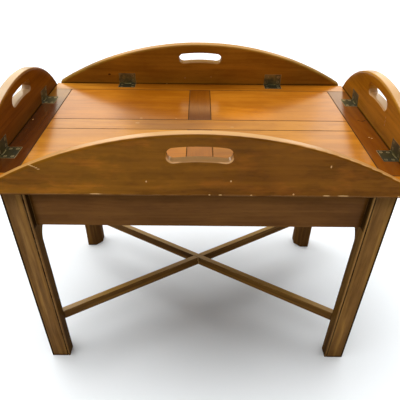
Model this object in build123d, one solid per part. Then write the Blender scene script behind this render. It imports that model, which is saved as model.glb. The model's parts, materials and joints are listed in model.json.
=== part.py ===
from build123d import *
import math
import os

# Butler table: a lift-off tray with four hinged flaps, resting on a stand with crossed stretchers.
# The origin is on the floor under the middle. X runs along the length, Y to the back, Z up.
# All flaps are up, as when the tray is carried.

# Tray
table_height = 450.0  # tray top above the floor
tray_length = 656.0
tray_depth = 428.0
tray_thickness = 15.0
end_stile_width = 42.0
long_rail_width = 38.0
centre_rail_width = 42.0
centre_stile_width = 44.0
tongue_thickness = 5.0
tongue_length = 7.0
groove_spare = 1.0  # how much a groove is deeper than its tongue
groove_stop = 12.0  # where the long rails' grooves stop short of the tray corners
board_arris = 0.5  # eased top edge of each tray board

# Battens under the tray, which drop between the legs
batten_width = 32.0
batten_thickness = 18.0
batten_play = 0.5
batten_lift_ease = 3.0  # bevel that leads the batten in
batten_screw_count = 3
batten_screw_spread_share = 0.36  # of the batten length, to each side of its middle

# Flaps
flap_thickness = 18.0
flap_height = 93.5
flap_lean_angle = 6.0  # degrees past upright, in over the tray
long_flap_end_gap = 7.0  # short of the tray corner at each end
side_flap_end_gap = 5.0
flap_tip_height = 4.0
flap_edge_round = 4.0
hand_hole_length = 94.0
hand_hole_height = 20.0
hand_hole_drop = 29.0  # its middle below the top of the arch
hand_hole_bend_radius = 300.0
hand_hole_round = 3.0

# Hinges
joint_gap = 0.5  # between tray edge and flap
pin_depth = 1.0  # pin axis below the tray top
pin_diameter = 2.0
knuckle_diameter = 4.0
pin_play = 0.05  # radial, in the flap's knuckle
knuckle_play = 0.2  # between neighbouring knuckles
knuckle_pocket_play = 0.4  # round the knuckles, in the wood
middle_knuckle_share = 0.38  # of the leaf width
leaf_width = 38.0
leaf_length = 26.0  # from the pin axis
leaf_thickness = 1.5
long_hinge_share = 0.508  # place along half the tray length
side_hinge_share = 0.528  # place along half the tray depth

# Screws
leaf_screw_head = 6.0
leaf_screw_shank = 3.0
leaf_screw_length = 12.0
leaf_screw_side_margin = 6.5
leaf_screw_near = 8.0  # from the pin axis
leaf_screw_end_margin = 6.0
batten_screw_head = 8.0
batten_screw_shank = 4.0
batten_screw_length = 27.0
screw_slot_width = 0.8
screw_slot_depth = 0.6

# Stand
leg_width = 38.0
leg_inset_ends = 17.0  # outer faces of the legs in from the tray edge
leg_inset_long = 19.0
leg_bead_width = 3.2
leg_quirk_width = 1.2
leg_quirk_depth = 1.6
leg_bead_round = 1.5
leg_corner_round = 1.2
leg_bevel = 16.0  # taken off each face at the inner corner
bevel_stop_gap = 14.0  # full square below the apron before the bevel runs out
bevel_run_out = 26.0
apron_height = 85.0
apron_thickness = 20.0
apron_setback = 13.0  # from the leg faces
apron_edge_round = 1.5
apron_tenon_length = 10.0
apron_tenon_thickness = 8.0
apron_tenon_shoulder = 10.0
stretcher_width = 12.0
stretcher_height = 22.0
stretcher_top = 111.0  # above the floor
stretcher_arris = 0.8
stretcher_tenon_width = 6.0
stretcher_tenon_shoulder = 4.0
stretcher_tenon_length = 9.0

# One overrun for every cut that passes right through
overrun = 5.0

# Places that follow from the sizes above
tray_under = table_height - tray_thickness
half_length = tray_length / 2
half_depth = tray_depth / 2
stile_line = half_length - end_stile_width
rail_line = half_depth - long_rail_width
centre_rail_line = centre_rail_width / 2
centre_stile_line = centre_stile_width / 2
tongue_low = tray_under + (tray_thickness - tongue_thickness) / 2
tongue_high = tongue_low + tongue_thickness
groove_depth = tongue_length + groove_spare
pin_out = joint_gap + pin_depth
pin_height = table_height - pin_depth
leg_x = half_length - leg_inset_ends
leg_y = half_depth - leg_inset_long
leg_inner_x = leg_x - leg_width
leg_inner_y = leg_y - leg_width
apron_bottom = tray_under - apron_height
apron_inner_x = leg_x - apron_setback - apron_thickness
apron_inner_y = leg_y - apron_setback - apron_thickness

# Middle of each flap's pin axis, and the angle that turns its local Y axis in over the tray
pin_middle = {
    "front": (0, -half_depth - pin_out),
    "back": (0, half_depth + pin_out),
    "left": (-half_length - pin_out, 0),
    "right": (half_length + pin_out, 0),
}
flap_angle = {"front": 0, "back": 180, "left": -90, "right": 90}
flap_half = {
    "front": half_length - long_flap_end_gap,
    "back": half_length - long_flap_end_gap,
    "left": half_depth - side_flap_end_gap,
    "right": half_depth - side_flap_end_gap,
}
hinge_half = {
    "front": half_length * long_hinge_share,
    "back": half_length * long_hinge_share,
    "left": half_depth * side_hinge_share,
    "right": half_depth * side_hinge_share,
}


def slab(x0, x1, y0, y1, z0, z1):
    """Box between two opposite corners."""
    return Pos((x0 + x1) / 2, (y0 + y1) / 2, (z0 + z1) / 2) * Box(x1 - x0, y1 - y0, z1 - z0)


def board(x0, x1, y0, y1):
    """Tray board with its top edges eased."""
    solid = slab(x0, x1, y0, y1, tray_under, table_height)
    return chamfer(solid.faces().sort_by(Axis.Z)[-1].edges(), board_arris)


def tongue(x0, x1, y0, y1):
    """Flat piece in the middle of the tray's thickness, for tongues and grooves."""
    return slab(x0, x1, y0, y1, tongue_low, tongue_high)


def place(side):
    """Location of a flap's pin axis."""
    return Pos(*pin_middle[side], pin_height) * Rot(0, 0, flap_angle[side])


def raised(side):
    """Location of what turns with a flap, leaning in about the pin axis."""
    return place(side) * Rot(-flap_lean_angle, 0, 0)


def screw_body(head, shank, length, head_height):
    """Countersunk screw without its slot, pointing down from the origin."""
    sink = Pos(0, 0, -head_height / 2) * Cone(shank / 2, head / 2, head_height)
    stem = Pos(0, 0, -length / 2) * Cylinder(shank / 2, length)
    return sink + stem


def screw(head, shank, length, head_height):
    """Countersunk screw with a slot."""
    slot = Box(head, screw_slot_width, screw_slot_depth * 2)
    return screw_body(head, shank, length, head_height) - slot


# Hinges, in the frame of one pin axis
def pin_axis_cylinder(x0, x1, radius):
    """Cylinder along the pin axis between two places."""
    return Pos((x0 + x1) / 2, 0, 0) * Rot(0, 90, 0) * Cylinder(radius, x1 - x0)


leaf_half = leaf_width / 2
middle_half = leaf_width * middle_knuckle_share / 2
knuckle_radius = knuckle_diameter / 2
screw_side = leaf_half - leaf_screw_side_margin
leaf_screw_spots = [
    (x, y)
    for x in (-screw_side, screw_side)
    for y in (leaf_screw_near, leaf_length - leaf_screw_end_margin)
]
tray_leaf_spots = [Pos(x, y, pin_depth) for x, y in leaf_screw_spots]
flap_leaf_spots = [Pos(x, pin_depth, y) * Rot(-90, 0, 0) for x, y in leaf_screw_spots]


def leaf_screw_tool(spot):
    """Hole for one leaf screw, open at the face of the leaf."""
    return spot * screw_body(leaf_screw_head, leaf_screw_shank, leaf_screw_length, leaf_thickness)


def tray_leaf():
    """Leaf let into the tray, with the two outer knuckles."""
    solid = slab(-leaf_half, leaf_half, 0, leaf_length, pin_depth - leaf_thickness, pin_depth)
    solid -= pin_axis_cylinder(-middle_half, middle_half, knuckle_radius + knuckle_pocket_play)
    for x0, x1 in ((-leaf_half, -middle_half), (middle_half, leaf_half)):
        solid += pin_axis_cylinder(x0, x1, knuckle_radius)
    solid -= pin_axis_cylinder(-leaf_half, leaf_half, pin_diameter / 2)
    for spot in tray_leaf_spots:
        solid -= leaf_screw_tool(spot)
    return solid


def flap_leaf():
    """Leaf let into the flap, with the middle knuckle."""
    solid = slab(-leaf_half, leaf_half, pin_depth - leaf_thickness, pin_depth, 0, leaf_length)
    for x0, x1 in ((-leaf_half, -middle_half), (middle_half, leaf_half)):
        solid -= pin_axis_cylinder(x0, x1, knuckle_radius + knuckle_pocket_play)
    reach = middle_half - knuckle_play
    solid += pin_axis_cylinder(-reach, reach, knuckle_radius)
    for x0, x1 in ((-middle_half, -reach), (reach, middle_half)):
        solid -= pin_axis_cylinder(x0, x1, knuckle_radius + knuckle_pocket_play)
    solid -= pin_axis_cylinder(-leaf_half, leaf_half, pin_diameter / 2 + pin_play)
    for spot in flap_leaf_spots:
        solid -= leaf_screw_tool(spot)
    return solid


def knuckle_pocket():
    """Room for the knuckles in the wood on both sides of the joint."""
    reach = leaf_half + knuckle_play
    return pin_axis_cylinder(-reach, reach, knuckle_radius + knuckle_pocket_play)


def tray_hinge_cut():
    """Everything a hinge takes out of the tray's edge."""
    cut = slab(-leaf_half, leaf_half, 0, leaf_length, pin_depth - leaf_thickness, pin_depth + overrun)
    cut += knuckle_pocket()
    for spot in tray_leaf_spots:
        cut += leaf_screw_tool(spot)
    return cut


def flap_hinge_cut():
    """Everything a hinge takes out of a flap."""
    cut = slab(-leaf_half, leaf_half, pin_depth - leaf_thickness, pin_depth + overrun, 0, leaf_length)
    cut += knuckle_pocket()
    for spot in flap_leaf_spots:
        cut += leaf_screw_tool(spot)
    return cut


# Flaps, in the frame of their pin axis
def hand_hole(crown):
    """Bent slot with rounded ends, under the top of the arch."""
    swing = (hand_hole_length - hand_hole_height) / 2
    centre = crown - hand_hole_drop - hand_hole_bend_radius
    end_angle = math.degrees(math.asin(swing / hand_hole_bend_radius))
    bend = CenterArc((0, centre), hand_hole_bend_radius, 90 - end_angle, 2 * end_angle)
    return SlotArc(bend, hand_hole_height)


def flap(side):
    """Arched flap with its hand hole, before it leans."""
    half = flap_half[side]
    foot = -pin_depth
    tip = foot + flap_tip_height
    crown = foot + flap_height
    outline = Polyline((-half, tip), (-half, foot), (half, foot), (half, tip))
    outline += ThreePointArc((half, tip), (0, crown), (-half, tip))
    plate = extrude(Plane.XZ * (make_face(outline) - hand_hole(crown)), flap_thickness)
    arched = [e for e in plate.edges() if e.geom_type == GeomType.CIRCLE and e.bounding_box().size.X > half]
    plate = fillet(arched, flap_edge_round)
    rims = [e for e in plate.edges() if on_hand_hole_rim(e, crown)]
    plate = Pos(0, pin_depth, 0) * fillet(rims, hand_hole_round)
    for spot in (-hinge_half[side], hinge_half[side]):
        plate -= Pos(spot, 0, 0) * flap_hinge_cut()
    return plate


def on_hand_hole_rim(edge, crown):
    """True for an edge that runs round the hand hole on a face of the flap."""
    size = edge.bounding_box().size
    middle = edge.center()
    in_hole = abs(middle.X) < hand_hole_length and size.X < hand_hole_length
    below_crown = 0 < middle.Z < crown - hand_hole_height / 2
    return in_hole and below_crown and size.Y < flap_thickness / 2


# Tray boards
def tray_boards():
    """Rails, stiles and panels of the tray, before the hinges are let in."""
    boards = {}
    for name, way in (("front", -1), ("back", 1)):
        edge = sorted((way * rail_line, way * half_depth))
        groove = sorted((way * rail_line, way * (rail_line + groove_depth)))
        reach = half_length - groove_stop
        rail = board(-half_length, half_length, *edge)
        boards[f"tray_{name}_rail"] = rail - tongue(-reach, reach, *groove)
    for name, way in (("left", -1), ("right", 1)):
        edge = sorted((way * stile_line, way * half_length))
        tenon = sorted((way * stile_line, way * (half_length - groove_stop)))
        groove = sorted((way * stile_line, way * (stile_line + groove_depth)))
        reach = rail_line + tongue_length
        stile = board(*edge, -rail_line, rail_line) + tongue(*tenon, -reach, reach)
        boards[f"tray_{name}_stile"] = stile - tongue(*groove, -reach, reach)
    reach = stile_line + tongue_length
    rail = board(-stile_line, stile_line, -centre_rail_line, centre_rail_line)
    rail += tongue(-reach, reach, -centre_rail_line, centre_rail_line)
    for way in (-1, 1):
        groove = sorted((way * centre_rail_line, way * (centre_rail_line - groove_depth)))
        rail -= tongue(-reach, reach, *groove)
    boards["tray_centre_rail"] = rail
    for name, way in (("front", -1), ("back", 1)):
        run = sorted((way * centre_rail_line, way * rail_line))
        long_run = sorted((way * (centre_rail_line - tongue_length), way * (rail_line + tongue_length)))
        stile = board(-centre_stile_line, centre_stile_line, *run)
        stile += tongue(-centre_stile_line, centre_stile_line, *long_run)
        for side in (-1, 1):
            groove = sorted((side * centre_stile_line, side * (centre_stile_line - groove_depth)))
            stile -= tongue(*groove, *long_run)
        boards[f"tray_{name}_centre_stile"] = stile
        for panel, side in (("left", -1), ("right", 1)):
            across = sorted((side * centre_stile_line, side * stile_line))
            wide = sorted((side * (centre_stile_line - tongue_length), side * (stile_line + tongue_length)))
            boards[f"tray_{name}_{panel}_panel"] = board(*across, *run) + tongue(*wide, *long_run)
    return boards


def let_in_hinges(boards):
    """Cuts the hinge recesses and screw holes out of the rails and end stiles."""
    carriers = {
        "front": "tray_front_rail",
        "back": "tray_back_rail",
        "left": "tray_left_stile",
        "right": "tray_right_stile",
    }
    for side, name in carriers.items():
        for spot in (-hinge_half[side], hinge_half[side]):
            boards[name] -= place(side) * Pos(spot, 0, 0) * tray_hinge_cut()
    return boards


# Battens
batten_out = min(leg_inner_x, apron_inner_x) - batten_play  # clear of the legs and the side aprons
batten_half = apron_inner_y - batten_play
batten_screw_sink = (batten_screw_head - batten_screw_shank) / 2


def batten_screw_spots(way):
    """Places of one batten's screws, on its underside and pointing up."""
    x = way * (batten_out - batten_width / 2)
    spread = batten_half * 2 * batten_screw_spread_share
    step = 2 * spread / (batten_screw_count - 1)
    ys = [step * number - spread for number in range(batten_screw_count)]
    return [Pos(x, y, tray_under - batten_thickness) * Rot(180, 0, 0) for y in ys]


def batten_screw_tool(spot):
    """Hole for one batten screw."""
    return spot * screw_body(batten_screw_head, batten_screw_shank, batten_screw_length, batten_screw_sink)


def batten(way):
    """Cross batten under one end of the tray."""
    across = sorted((way * (batten_out - batten_width), way * batten_out))
    solid = slab(*across, -batten_half, batten_half, tray_under - batten_thickness, tray_under)
    solid = chamfer(solid.faces().sort_by(Axis.Z)[0].edges(), batten_lift_ease)
    for spot in batten_screw_spots(way):
        solid -= batten_screw_tool(spot)
    return solid


def bore_for_batten_screws(boards):
    """Cuts the battens' screw holes into the tray boards over them."""
    for way in (-1, 1):
        for spot in batten_screw_spots(way):
            hole = batten_screw_tool(spot)
            for name, solid in boards.items():
                if (solid & hole).volume > 0:
                    boards[name] = solid - hole
    return boards


# Stand
def leg_section():
    """Plan of a leg about its middle, with its inner corner at plus X, plus Y."""
    half = leg_width / 2
    square = Rectangle(leg_width, leg_width)
    corners = sorted(square.vertices(), key=lambda corner: corner.X + corner.Y)
    square = fillet(corners[0], leg_corner_round)
    beaded = [v for v in square.vertices() if v.X * v.Y < -half * (half - leg_bead_round)]
    square = fillet(beaded, leg_bead_round)
    quirk_place = half - leg_bead_width - leg_quirk_width / 2
    quirk = Rectangle(leg_quirk_width, leg_quirk_depth * 2)
    square -= Pos(quirk_place, -half) * quirk
    square -= Pos(-half, quirk_place) * Rot(0, 0, 90) * quirk
    return square


def leg_bevel_cut():
    """What the stopped bevel takes off a leg's inner corner, with its curved run-out."""
    depth = leg_bevel / math.sqrt(2)
    stop = apron_bottom - bevel_stop_gap
    start = stop - bevel_run_out
    line = Polyline((0, stop), (-overrun, stop), (-overrun, -overrun), (depth, -overrun), (depth, start))
    line += TangentArc((depth, start), (0, stop), tangent=(0, 1))
    corner = Plane(origin=(leg_width / 2, leg_width / 2, 0), x_dir=(-1, -1, 0), z_dir=(-1, 1, 0))
    return extrude(corner * make_face(line), leg_width, both=True)


def leg(x_way, y_way):
    """Leg at one corner: built at the front left and mirrored to its place."""
    solid = extrude(leg_section(), tray_under) - leg_bevel_cut()
    solid = Pos(-leg_x + leg_width / 2, -leg_y + leg_width / 2, 0) * solid
    if x_way > 0:
        solid = mirror(solid, Plane.YZ)
    if y_way > 0:
        solid = mirror(solid, Plane.XZ)
    return solid


def apron(half, face_out):
    """Apron on the front, running along X, with a tenon at each end."""
    inner = face_out - apron_thickness
    solid = slab(-half, half, -face_out, -inner, apron_bottom, tray_under)
    lower = [e for e in solid.edges().filter_by(Axis.X) if e.center().Z < apron_bottom + apron_edge_round]
    solid = fillet([e for e in lower if e.center().Y < -inner - apron_edge_round], apron_edge_round)
    middle = (face_out + inner) / 2
    cheek = apron_tenon_thickness / 2
    reach = half + apron_tenon_length
    low = apron_bottom + apron_tenon_shoulder
    high = tray_under - apron_tenon_shoulder
    return solid + slab(-reach, reach, -middle - cheek, -middle + cheek, low, high)


stretcher_angle = math.degrees(math.atan2(leg_inner_y + leg_bevel / 2, leg_inner_x + leg_bevel / 2))
bevel_reach = leg_inner_x + leg_inner_y + leg_bevel


def diamond(reach):
    """Upright prism bounded by the planes of the four leg bevels, moved out to a reach."""
    corners = ((reach, 0), (0, reach), (-reach, 0), (0, -reach), (reach, 0))
    return extrude(make_face(Polyline(*corners)), table_height)


def stretcher_bar(way, width, low, high):
    """Straight bar along one diagonal, longer than the stand."""
    reach = half_length + half_depth
    return Rot(0, 0, way * stretcher_angle) * slab(-reach, reach, -width / 2, width / 2, low, high)


def stretcher(way):
    """One arm of the cross, with tenons into two legs and half its lap cut away."""
    low = stretcher_top - stretcher_height
    bar = slab(-half_length, half_length, -stretcher_width / 2, stretcher_width / 2, low, stretcher_top)
    bar = chamfer(bar.edges().filter_by(Axis.X), stretcher_arris)
    solid = (Rot(0, 0, way * stretcher_angle) * bar) & diamond(bevel_reach)
    tenon = (low + stretcher_tenon_shoulder, stretcher_top - stretcher_tenon_shoulder)
    core = stretcher_bar(way, stretcher_tenon_width, *tenon)
    solid += core & diamond(bevel_reach + stretcher_tenon_length * math.sqrt(2))
    middle = stretcher_top - stretcher_height / 2
    lap = (middle, stretcher_top + overrun) if way > 0 else (low - overrun, middle)
    return solid - stretcher_bar(-way, stretcher_width, *lap)


def stand():
    """Legs, aprons and crossed stretchers."""
    front = apron(leg_inner_x, leg_y - apron_setback)
    side = Rot(0, 0, -90) * apron(leg_inner_y, leg_x - apron_setback)
    pieces = {
        "front_apron": front,
        "back_apron": Rot(0, 0, 180) * front,
        "left_apron": side,
        "right_apron": Rot(0, 0, 180) * side,
        "rising_stretcher": stretcher(1),
        "falling_stretcher": stretcher(-1),
    }
    joined = list(pieces.values())
    for y_name, y_way in (("front", -1), ("back", 1)):
        for x_name, x_way in (("left", -1), ("right", 1)):
            solid = leg(x_way, y_way)
            for piece in joined:
                solid -= piece
            pieces[f"{y_name}_{x_name}_leg"] = solid
    return pieces


def hinge_pieces():
    """Leaves, pins and leaf screws of all eight hinges."""
    pieces = {}
    pins = []
    tray_screws = []
    pin = pin_axis_cylinder(-leaf_half, leaf_half, pin_diameter / 2)
    leaf_screw = screw(leaf_screw_head, leaf_screw_shank, leaf_screw_length, leaf_thickness)
    for side in flap_angle:
        flap_screws = []
        for number, spot in enumerate((-hinge_half[side], hinge_half[side]), start=1):
            seat = place(side) * Pos(spot, 0, 0)
            raised_seat = raised(side) * Pos(spot, 0, 0)
            pieces[f"{side}_hinge_{number}_tray_leaf"] = seat * tray_leaf()
            pieces[f"{side}_hinge_{number}_flap_leaf"] = raised_seat * flap_leaf()
            pins.append(seat * pin)
            tray_screws += [seat * hole * leaf_screw for hole in tray_leaf_spots]
            flap_screws += [raised_seat * hole * leaf_screw for hole in flap_leaf_spots]
        pieces[f"{side}_flap_screws"] = Compound(flap_screws)
    pieces["hinge_pins"] = Compound(pins)
    pieces["tray_leaf_screws"] = Compound(tray_screws)
    return pieces


def batten_pieces():
    """Battens and their screws."""
    batten_screw = screw(batten_screw_head, batten_screw_shank, batten_screw_length, batten_screw_sink)
    screws = [spot * batten_screw for way in (-1, 1) for spot in batten_screw_spots(way)]
    return {"left_batten": batten(-1), "right_batten": batten(1), "batten_screws": Compound(screws)}


parts = {}
parts.update(bore_for_batten_screws(let_in_hinges(tray_boards())))
parts.update(batten_pieces())
for side in flap_angle:
    parts[f"{side}_flap"] = raised(side) * flap(side)
parts.update(hinge_pieces())
parts.update(stand())

os.makedirs("parts", exist_ok=True)
for name, shape in parts.items():
    export_step(shape, f"parts/{name}.step")
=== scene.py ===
import json
import math
from collections import namedtuple

import bpy
from mathutils import Matrix, Vector


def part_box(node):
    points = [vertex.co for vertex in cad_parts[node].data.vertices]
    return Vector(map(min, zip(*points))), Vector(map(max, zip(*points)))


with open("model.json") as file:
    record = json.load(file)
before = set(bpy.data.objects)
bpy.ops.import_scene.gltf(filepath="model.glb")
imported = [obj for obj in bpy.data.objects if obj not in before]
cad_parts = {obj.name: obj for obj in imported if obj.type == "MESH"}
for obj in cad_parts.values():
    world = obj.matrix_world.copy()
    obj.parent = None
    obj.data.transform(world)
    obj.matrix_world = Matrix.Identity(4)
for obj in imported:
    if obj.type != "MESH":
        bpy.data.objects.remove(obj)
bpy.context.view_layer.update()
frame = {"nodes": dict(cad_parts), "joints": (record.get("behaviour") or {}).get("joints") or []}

bl_info = {
    "name": "Butler Table",
    "version": (1, 0, 0),
    "blender": (4, 5, 0),
    "location": "View3D > Sidebar > Butler Table",
    "description": "Finishes the butler table in polished wood and aged brass and sets it on a pale floor",
    "category": "Object",
}

MILLIMETRE = 0.001
RING_GAP = 7 * MILLIMETRE
SIDES = ("front", "back", "left", "right")
WHITE = (1.0, 1.0, 1.0)
AXIS = {"X": Vector((1.0, 0.0, 0.0)), "Y": Vector((0.0, 1.0, 0.0)), "Z": Vector((0.0, 0.0, 1.0))}
VECTOR = "NodeSocketVector"
FLOAT = "NodeSocketFloat"
# How pale the rounding of a hand hole's lower side is, by wear and a painted highlight
HOLE_RUB_AND_HIGHLIGHT = 0.55

Finish = namedtuple("Finish", "light dark gloss polish figure streaks wear crown", defaults=(None,))
Mark = namedtuple("Mark", "centre half paint")
# Coordinates and normals over a board, and the lowest and highest corner of its box
Board = namedtuple("Board", "place facing low high")
# The crown's share, and what is left of it at the flap's tips and on the hand hole's lip, go from 0 to 1
FlapLook = namedtuple(
    "FlapLook",
    "tone polish leaf_shade crown crown_share tips lip arris tints",
    defaults=(None, 1.0, 1.0, 1.0, HOLE_RUB_AND_HIGHLIGHT, ()),
)


# Sizes and colours that a user would change
def colour_property(name, description, default):
    """A colour in the panel."""
    return bpy.props.FloatVectorProperty(
        name=name, description=description, default=default, subtype="COLOR", size=3, min=0.0, max=1.0
    )


def length_property(name, description, default):
    """A length in the panel."""
    return bpy.props.FloatProperty(
        name=name, description=description, default=default, subtype="DISTANCE", unit="LENGTH", min=0.0
    )


def share_property(name, description, default):
    """A share from 0 to 1 in the panel."""
    return bpy.props.FloatProperty(
        name=name, description=description, default=default, subtype="FACTOR", min=0.0, max=1.0
    )


def number_property(name, description, default):
    """A number in the panel, not below nought."""
    return bpy.props.FloatProperty(name=name, description=description, default=default, min=0.0)


def angle_property(name, description, degrees):
    """An angle in the panel."""
    return bpy.props.FloatProperty(
        name=name, description=description, default=math.radians(degrees), subtype="ANGLE", unit="ROTATION"
    )


class ButlerTableWood(bpy.types.PropertyGroup):
    """Colours, grain and polish of the wood."""

    tray_light: colour_property("Tray, light grain", "Early wood of the tray boards", (0.56, 0.192, 0.011))
    tray_dark: colour_property("Tray, dark grain", "Late wood of the tray boards", (0.41, 0.120, 0.005))
    flap_light: colour_property("Flaps, light grain", "Early wood of the flaps", (0.30, 0.112, 0.007))
    flap_dark: colour_property("Flaps, dark grain", "Late wood of the flaps", (0.19, 0.064, 0.003))
    stand_light: colour_property("Stand, light grain", "Early wood of the stand", (0.145, 0.064, 0.0135))
    stand_dark: colour_property("Stand, dark grain", "Late wood of the stand", (0.085, 0.034, 0.0055))
    bare: colour_property("Underside", "Unpolished wood underneath", (0.20, 0.105, 0.045))
    worn: colour_property("Rubbed edge", "Wood where the polish has worn off the edges", (0.62, 0.36, 0.13))
    # The crown colour is partly wear and partly a painted highlight on upward edges
    crown: colour_property("Crown", "Upper edges of the flaps, paled by hands", (0.70, 0.36, 0.12))
    # The stretcher tops' colour is a painted highlight on their upward faces
    bar_top_highlight: colour_property("Stretcher tops", "Upper faces of the stretchers", (0.74, 0.43, 0.10))
    ring_gap: length_property("Ring gap", "Distance between two growth rings", RING_GAP)
    polish: share_property("Polish", "How much clear polish lies over the wood", 0.9)
    wear: share_property("Wear", "How far the edges are rubbed", 0.5)


class ButlerTableBrass(bpy.types.PropertyGroup):
    """Colours of the hinges and screws."""

    bright: colour_property("Bright brass", "Brass on the rubbed edges", (0.80, 0.64, 0.34))
    tarnished: colour_property("Tarnished brass", "Brass on the flats", (0.34, 0.29, 0.12))
    verdigris: colour_property("Dark patches", "Oldest tarnish", (0.09, 0.095, 0.045))
    steel: colour_property("Screw steel", "Screws under the tray", (0.30, 0.29, 0.27))


class ButlerTableStage(bpy.types.PropertyGroup):
    """Floor, lights and camera."""

    floor_colour: colour_property("Floor", "Pale floor", (0.885, 0.92, 0.94))
    floor_radius: length_property("Floor radius", "Radius of the round floor", 30.0)
    key_strength: number_property("Key light", "Strength of the light overhead", 3.0)
    key_spread: angle_property("Key spread", "Angle across which the light overhead is seen", 72)
    back_radiance: number_property("Back panel", "Brightness of the panel behind", 1.0)
    back_colour: colour_property("Panel colour", "Colour of the panel behind", (1.0, 0.79, 0.38))
    floor_glow: number_property("Floor lights", "Strength of the two lights on the floor alone", 1.6)
    floor_spread: angle_property("Floor spread", "Angle across which each floor light is seen", 46)
    side_radiance: number_property("Side panels", "Brightness of the two white panels beside it", 1.3)
    fill: number_property("Fill", "Brightness of the room", 0.22)
    room_shine: number_property("Room shine", "Brightness of the room as the polish shows it", 0.5)
    room_tint: colour_property("Room tint", "Colour of the room as the polish shows it", (1.0, 0.9, 0.72))
    camera_place: bpy.props.FloatVectorProperty(
        name="Camera",
        description="Place of the camera",
        default=(-0.00207, -0.72612, 0.7974),
        subtype="TRANSLATION",
        unit="LENGTH",
    )
    camera_pitch: angle_property("Camera pitch", "How far the camera looks down", 35.81)
    camera_yaw: angle_property("Camera yaw", "How far the camera looks to the right", 0.34)
    camera_roll: angle_property("Camera roll", "How far the camera leans", 0.71)
    camera_lens: number_property("Lens", "Focal length of the camera in millimetres", 37.52)


# Building node trees
def plug(tree, node, inputs):
    """Sets a node's inputs, or links them where the value is a socket."""
    for key, value in inputs.items():
        if isinstance(value, bpy.types.NodeSocket):
            tree.links.new(value, node.inputs[key])
        else:
            node.inputs[key].default_value = value


def add(tree, kind, inputs=None, **settings):
    """New node with its settings made and its inputs set or linked."""
    made = tree.nodes.new(kind)
    for name, value in settings.items():
        setattr(made, name, value)
    plug(tree, made, inputs or {})
    return made


def calc(tree, operation, *values):
    """Result of a Math node."""
    return add(tree, "ShaderNodeMath", dict(enumerate(values)), operation=operation).outputs[0]


def vector_calc(tree, operation, *values):
    """Vector result of a Vector Math node."""
    return add(tree, "ShaderNodeVectorMath", dict(enumerate(values)), operation=operation).outputs["Vector"]


def measure(tree, operation, *values):
    """Number that a Vector Math node gives."""
    return add(tree, "ShaderNodeVectorMath", dict(enumerate(values)), operation=operation).outputs["Value"]


def axes(tree, vector):
    """X, Y and Z of a vector."""
    return add(tree, "ShaderNodeSeparateXYZ", {0: vector}).outputs


def inverse(tree, share):
    """What a share leaves of 1."""
    return calc(tree, "SUBTRACT", 1.0, share)


def stretched(tree, vector, scale):
    """Coordinates stretched by a scale for each axis."""
    return vector_calc(tree, "MULTIPLY", vector, scale)


def rise(tree, value, low, high):
    """0 below low, 1 above high and a smooth step between them."""
    inputs = {"Value": value, "From Min": low, "From Max": high}
    return add(tree, "ShaderNodeMapRange", inputs, interpolation_type="SMOOTHSTEP").outputs["Result"]


def between(tree, value, low, high):
    """A share turned into a number between two others."""
    inputs = {"Value": value, "To Min": low, "To Max": high}
    return add(tree, "ShaderNodeMapRange", inputs).outputs["Result"]


def mix(tree, share, first, second, way="MIX"):
    """Mix of two colours."""
    inputs = {0: share, 6: first, 7: second}
    return add(tree, "ShaderNodeMix", inputs, data_type="RGBA", blend_type=way).outputs[2]


def noise(tree, vector, detail=2.0, roughness=0.5, scale=1.0):
    """Value of a Noise texture."""
    inputs = {"Vector": vector, "Scale": scale, "Detail": detail, "Roughness": roughness}
    return add(tree, "ShaderNodeTexNoise", inputs).outputs["Fac"]


def solid(colour):
    """Colour with its alpha."""
    return (*colour, 1.0)


def new_group(name, inputs, outputs):
    """Empty node group with named inputs, given as kind and default, and named outputs."""
    tree = bpy.data.node_groups.new(name, "ShaderNodeTree")
    for label, (kind, default) in inputs.items():
        socket = tree.interface.new_socket(name=label, in_out="INPUT", socket_type=kind)
        if default is not None:
            socket.default_value = default
    for label, kind in outputs.items():
        tree.interface.new_socket(name=label, in_out="OUTPUT", socket_type=kind)
    return tree, tree.nodes.new("NodeGroupInput").outputs, tree.nodes.new("NodeGroupOutput")


def finish_group(tree, end, **results):
    """Links the results to the group's outputs."""
    plug(tree, end, results)


# Node groups that the materials share
def grain_group():
    """Rings, streaks, fibres and pores of a board that runs along X with its face towards Z."""
    inputs = {
        "Vector": (VECTOR, None),
        "Ring gap": (FLOAT, RING_GAP),
        "Pith depth": (FLOAT, 60 * MILLIMETRE),
        "Waviness": (FLOAT, 1.0),
    }
    outputs = {"Rings": FLOAT, "Streaks": FLOAT, "Fibres": FLOAT, "Pores": FLOAT, "Clouds": FLOAT}
    tree, start, end = new_group("Wood grain", inputs, outputs)
    place = start["Vector"]
    drift = noise(tree, stretched(tree, place, (2.4, 9.0, 9.0)), 2.0, 0.5)
    swing = calc(tree, "MULTIPLY", start["Waviness"], 7.0)
    bend = calc(tree, "MULTIPLY", calc(tree, "SUBTRACT", drift, 0.5), swing)
    parts = axes(tree, place)
    depth = calc(tree, "ADD", parts["Z"], start["Pith depth"])
    across = add(tree, "ShaderNodeCombineXYZ", {"Y": parts["Y"], "Z": depth}).outputs[0]
    count = calc(tree, "DIVIDE", measure(tree, "LENGTH", across), start["Ring gap"])
    wave = calc(tree, "SINE", calc(tree, "MULTIPLY", calc(tree, "ADD", count, bend), math.tau))
    rings = calc(tree, "POWER", calc(tree, "MULTIPLY_ADD", wave, 0.5, 0.5), 1.6)
    streaks = noise(tree, stretched(tree, place, (5.0, 95.0, 95.0)), 5.0, 0.62)
    fibres = noise(tree, stretched(tree, place, (22.0, 620.0, 620.0)), 3.0, 0.6)
    dashes = noise(tree, stretched(tree, place, (70.0, 1150.0, 1150.0)), 1.0, 0.5)
    pores = rise(tree, dashes, 0.62, 0.72)
    clouds = noise(tree, stretched(tree, place, (9.0, 22.0, 22.0)), 4.0, 0.6)
    clouds = rise(tree, clouds, 0.35, 0.7)
    finish_group(tree, end, Rings=rings, Streaks=streaks, Fibres=fibres, Pores=pores, Clouds=clouds)
    return tree


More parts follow.
